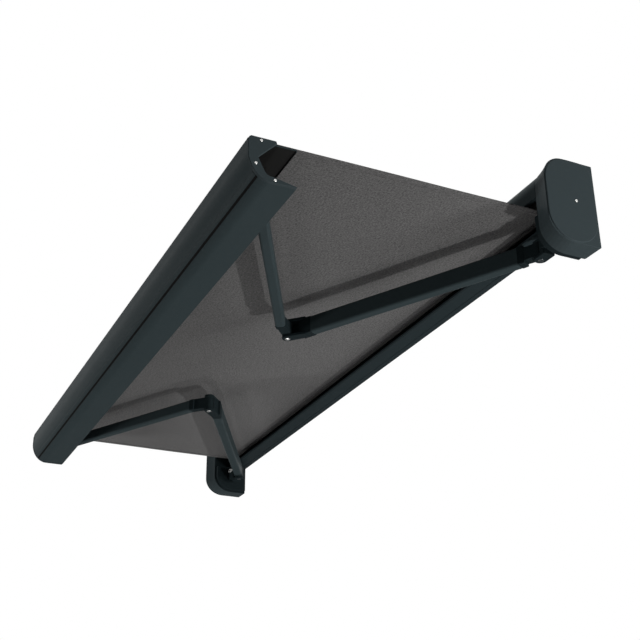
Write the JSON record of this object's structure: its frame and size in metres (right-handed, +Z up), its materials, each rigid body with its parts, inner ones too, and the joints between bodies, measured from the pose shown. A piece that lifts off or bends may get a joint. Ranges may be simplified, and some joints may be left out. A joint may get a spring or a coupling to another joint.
{
  "type": "canvas awning",
  "caption": "Wall-mounted cassette awning with a woven cloth that runs from a roller to a C-section front bar carried on jointed folding arms.",
  "frame": {"origin": "centre of the middle wall bracket's flat back face, on the wall plane", "axes": "X along the wall, to the right seen from the street; +Y into the wall; +Z up; the cloth runs out towards -Y"},
  "size_m": [3.0028, 1.112, 0.2905],
  "materials": {
    "coat_profile": "satin anthracite powder coat on extruded aluminium",
    "coat_cast": "satin anthracite powder coat on castings",
    "coat_moulded": "satin anthracite moulding",
    "cloth_grey": "woven dark grey canvas",
    "steel_bright": "bright stainless",
    "zinc_tube": "galvanised",
    "plastic_black": "matt black"
  },
  "bodies": {
    "cassette": {"rear_profile": "coat_profile", "hood": "coat_profile", "wall_bracket_left": "coat_cast", "wall_bracket_middle": "coat_cast", "wall_bracket_right": "coat_cast", "idler_bearing": "steel_bright", "motor_bearing": "coat_cast", "tubular_motor": "zinc_tube", "cloth": "cloth_grey", "end_cap_right": "coat_moulded", "end_cap_left": "coat_moulded", "side_plate_right": "coat_cast", "side_plate_left": "coat_cast", "cap_screw_right": "steel_bright", "cap_screw_left": "steel_bright", "shoulder_bracket_right": "coat_cast", "shoulder_bracket_left": "coat_cast", "bracket_bolt_right": "steel_bright", "bracket_bolt_left": "steel_bright", "shoulder_pin_right": "steel_bright", "shoulder_pin_left": "steel_bright"},
    "roller": {"roller_tube": "zinc_tube", "cloth_roll": "cloth_grey", "idler_plug": "plastic_black", "motor_crown": "plastic_black", "drive_wheel": "plastic_black"},
    "front_bar": {"front_bar": "coat_profile", "bar_cap_right": "coat_moulded", "bar_cap_left": "coat_moulded", "wrist_bracket_right": "coat_cast", "wrist_bracket_left": "coat_cast", "wrist_pin_right": "steel_bright", "wrist_pin_left": "steel_bright", "bar_screw_right_1": "steel_bright", "bar_screw_right_2": "steel_bright", "bar_screw_right_3": "steel_bright", "bar_screw_left_1": "steel_bright", "bar_screw_left_2": "steel_bright", "bar_screw_left_3": "steel_bright"},
    "right_rear_arm": {"rear_arm_right": "coat_profile", "shoulder_end_right": "coat_cast", "elbow_fork_right": "coat_cast", "elbow_pin_right": "steel_bright"},
    "right_forearm": {"forearm_right": "coat_profile", "elbow_end_right": "coat_cast", "wrist_end_right": "coat_cast"},
    "left_rear_arm": {"rear_arm_left": "coat_profile", "shoulder_end_left": "coat_cast", "elbow_fork_left": "coat_cast", "elbow_pin_left": "steel_bright"},
    "left_forearm": {"forearm_left": "coat_profile", "elbow_end_left": "coat_cast", "wrist_end_left": "coat_cast"}
  },
  "joints": [
    {"name": "right_shoulder", "type": "hinge", "parent": "cassette", "child": "right_rear_arm", "pos_m": [1.3, -0.08, -0.138], "axis": [0, 0, -1], "range_deg": [0, 27.3], "deforming": ["cloth"]},
    {"name": "right_elbow", "type": "hinge", "parent": "right_rear_arm", "child": "right_forearm", "pos_m": [0.41521, -0.565, -0.138], "axis": [0, 0, 1], "range_deg": [0, 54.6]},
    {"name": "right_wrist", "type": "hinge", "parent": "right_forearm", "child": "front_bar", "pos_m": [1.3, -1.05, -0.138], "axis": [0, 0, -1], "range_deg": [0, 27.3]},
    {"name": "left_shoulder", "type": "hinge", "parent": "cassette", "child": "left_rear_arm", "pos_m": [-1.3, -0.08, -0.138], "axis": [0, 0, 1], "range_deg": [0, 27.3]},
    {"name": "left_elbow", "type": "hinge", "parent": "left_rear_arm", "child": "left_forearm", "pos_m": [-0.41521, -0.565, -0.138], "axis": [0, 0, -1], "range_deg": [0, 54.6]},
    {"name": "roller_turn", "type": "hinge", "parent": "cassette", "child": "roller", "pos_m": [0, -0.09, 0.001], "axis": [1, 0, 0], "range_deg": [0, 1190]}
  ],
  "couplings": [
    {"joint": "right_elbow", "follows": "right_shoulder", "ratio": 2},
    {"joint": "right_wrist", "follows": "right_shoulder", "ratio": 1},
    {"joint": "left_shoulder", "follows": "right_shoulder", "ratio": 1},
    {"joint": "left_elbow", "follows": "right_shoulder", "ratio": 2},
    {"joint": "roller_turn", "follows": "right_shoulder", "ratio": 43.5}
  ]
}
